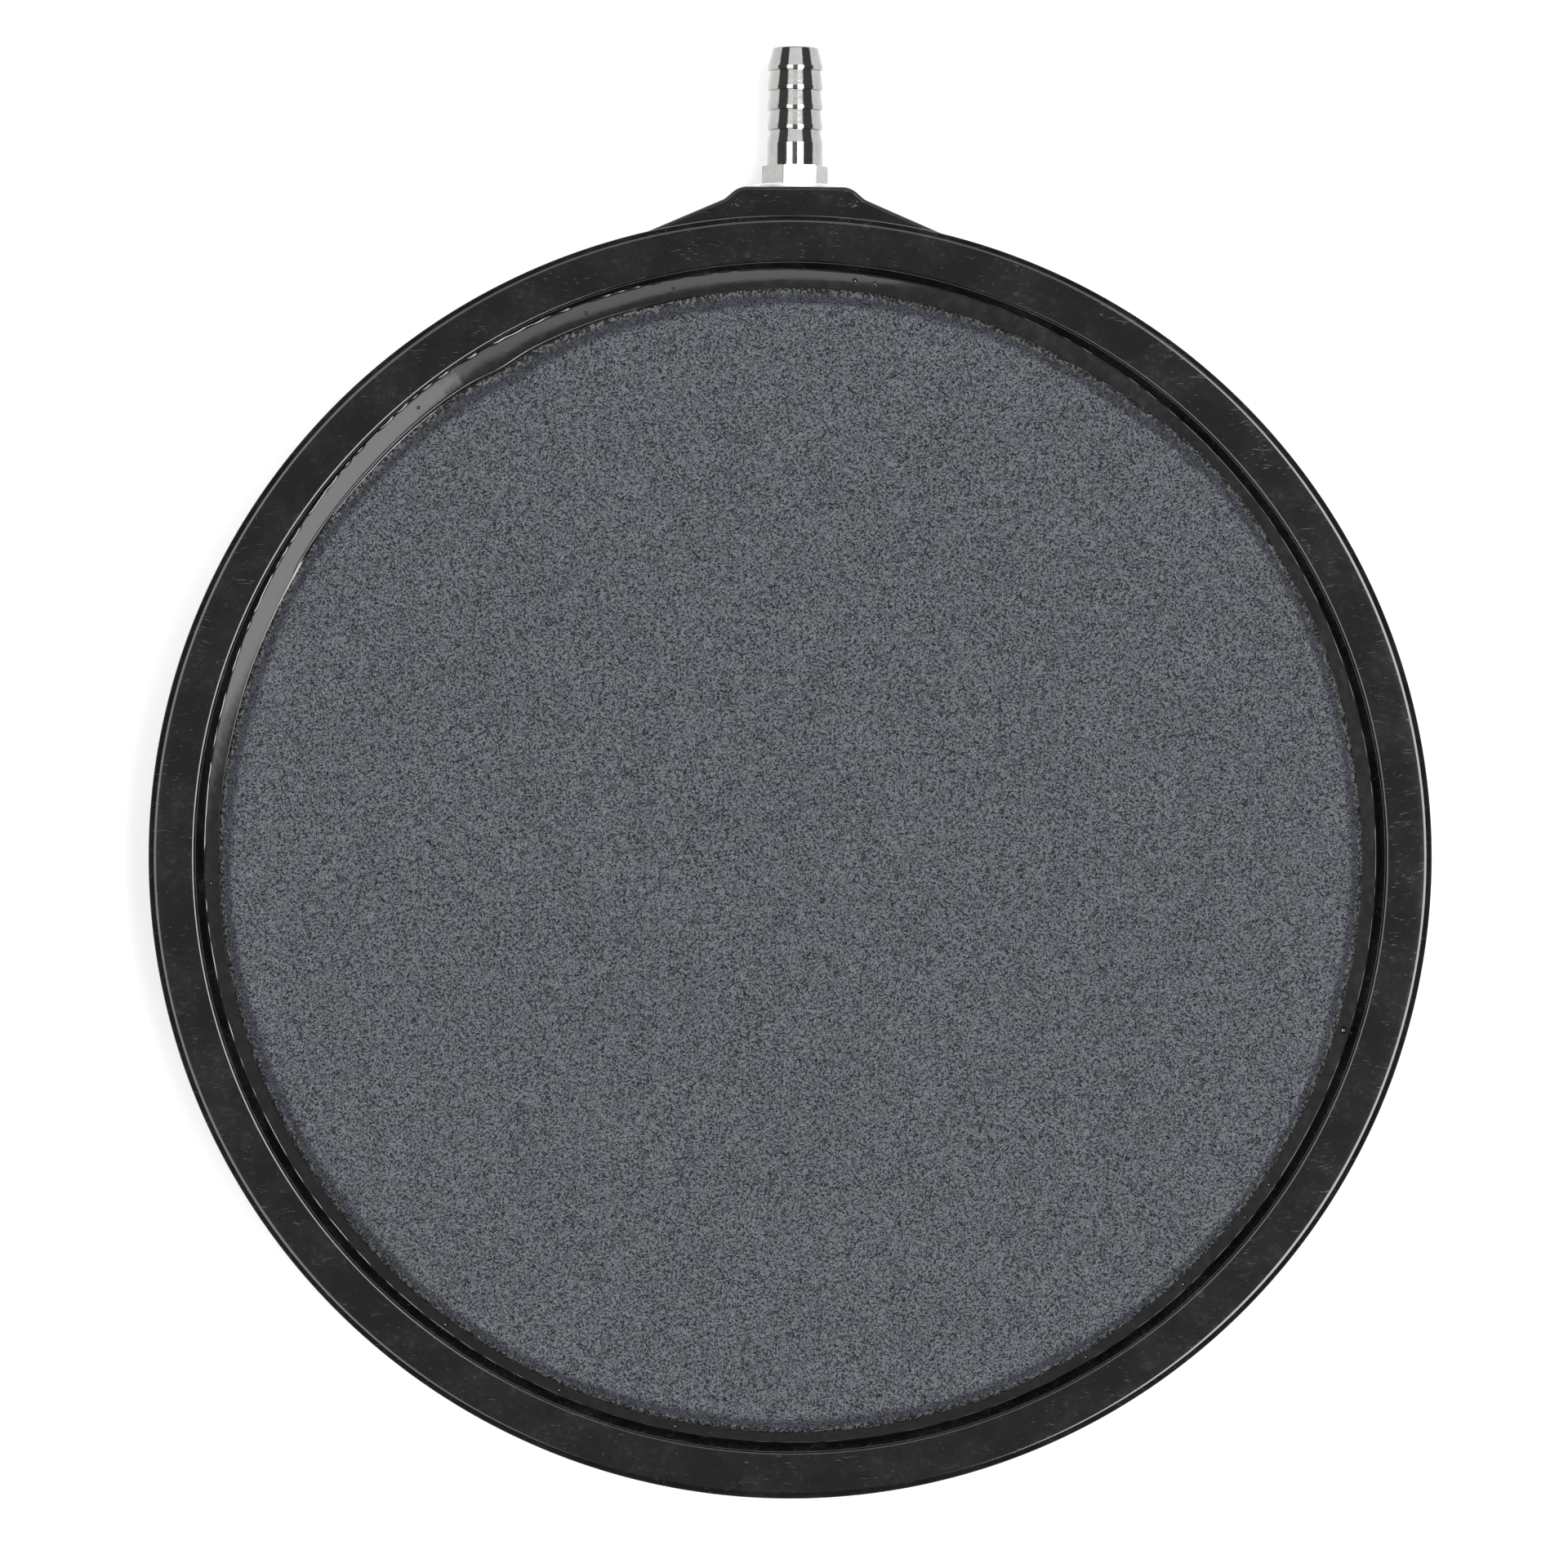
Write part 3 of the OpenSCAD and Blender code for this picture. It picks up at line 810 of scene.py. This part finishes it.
def make_barb():
    barb = along_y(lathe("hose_barb_fitting", barb_outline(), 128))
    combine(barb, hexagon(), "UNION")
    combine(barb, thread_solid(), "UNION")
    wide = [(0, HEX_Y + 1), (AIR_BORE_R, HEX_Y + 1), (AIR_BORE_R, BARB_TIP - 1), (0, BARB_TIP - 1)]
    thin = [(0, STEM_END - 3), (PASSAGE_R, STEM_END - 3), (PASSAGE_R, HEX_Y + 3), (0, HEX_Y + 3)]
    for outline in (wide, thin):
        combine(barb, along_y(lathe("bore", outline, 64)), "DIFFERENCE")
    return finish_piece(barb, plated_metal(), "barb", "hose_barb", sharp_deg=28)


def make_washer():
    inner, outer = THREAD_R + 0.1, (washer_high.x - washer_low.x) / 2
    thick = washer_high.y - washer_low.y
    corners = [(inner, 0, 0.08), (outer, 0, 0.08), (outer, thick, 0.2), (inner, thick, 0.12)]
    outline = rounded(corners, step=18)
    washer = along_y(lathe("flat_washer_ring", outline, 128), FACE_Y)
    return finish_piece(washer, dull_plate(), "washer", "flat_washer")


def make_sealing_ring():
    inner, outer = THREAD_R + 0.06, (ring_high.x - ring_low.x) / 2
    thick = ring_high.y - ring_low.y
    soft = 0.45
    corners = [(inner, 0, soft), (outer, 0, soft), (outer, thick, soft), (inner, thick, soft)]
    outline = rounded(corners, step=15)
    ring = along_y(lathe("rubber_ring", outline, 96), ring_low.y)
    return finish_piece(ring, ring_rubber(), "pan", "sealing_ring")


# ---------------------------------------------------------------- floor, lights and camera

CAMERA_ABOVE_RIM = 1.19
CAMERA_ASIDE = -0.00104
CAMERA_AHEAD = 0.01137
CAMERA_ROLL = 0.4
LENS = 175.45
LIGHT_HEIGHT = 6.0


def make_floor():
    """A round pale floor that curves up into a low wall."""
    flat_r, bend = 1500, 400
    curve = [(flat_r + bend * math.sin(a), bend * (1 - math.cos(a))) for a in
             [math.pi / 2 * k / 16 for k in range(17)]]
    rings = [(flat_r * k / 4, 0) for k in range(1, 5)] + curve
    around = 96
    angles = [math.tau * k / around for k in range(around)]
    points = [(0, 0, 0)] + [(r * math.cos(a), r * math.sin(a), z) for r, z in rings for a in angles]
    faces = [(0, 1 + k, 1 + (k + 1) % around) for k in range(around)]
    faces += [tuple(1 + c for c in reversed(face)) for face in grid_faces(len(rings), around, False)]
    floor = solid("floor", points, faces)
    floor.data.materials.append(floor_paint())
    floor.data.shade_smooth()


def panel(name, across_deg, along_deg, radiance):
    """A level light above the object. Its sides are given as tilts from overhead towards +X and +Y."""
    left, right = (LIGHT_HEIGHT * math.tan(math.radians(tilt)) for tilt in across_deg)
    near, far = (LIGHT_HEIGHT * math.tan(math.radians(tilt)) for tilt in along_deg)
    light = bpy.data.lights.new(name, "AREA")
    light.shape = "RECTANGLE"
    light.size, light.size_y = right - left, far - near
    light.energy = radiance * math.pi * light.size * light.size_y
    lamp = link(name, light)
    lamp.location = ((left + right) / 2, (near + far) / 2, LIGHT_HEIGHT)


def make_lights():
    panel("softbox_left", (-35, -12), (-30, 20), 3.3)
    panel("softbox_left_edge", (-12, -9.5), (-30, 20), 1.3)
    panel("softbox_right", (11, 34), (-30, 20), 9.0)
    panel("softbox_right_edge", (9, 11), (-30, 20), 1.7)
    panel("overhead_gap", (-12, 9), (-30, 20), 0.17)
    panel("far_panel", (-33, 33), (20, 42), 1.55)
    panel("far_stripe", (9, 13), (20, 34), 4.0)
    world = bpy.data.worlds.new("studio")
    world.use_nodes = True
    world.node_tree.nodes["Background"].inputs["Color"].default_value = (0.12, 0.12, 0.12, 1)
    bpy.context.scene.world = world


def make_camera():
    data = bpy.data.cameras.new("camera")
    data.lens = LENS
    data.sensor_width = 36
    data.clip_end = 20
    camera = link("camera", data)
    camera.location = (CAMERA_ASIDE, CAMERA_AHEAD, PAN_H * MM + CAMERA_ABOVE_RIM)
    camera.rotation_euler = (0, 0, math.radians(CAMERA_ROLL))
    bpy.context.scene.camera = camera
    bpy.context.scene.view_settings.view_transform = "Standard"


make_camera()
make_lights()
make_floor()
make_pan()
make_stone()
make_resin()
make_barb()
make_washer()
make_sealing_ring()
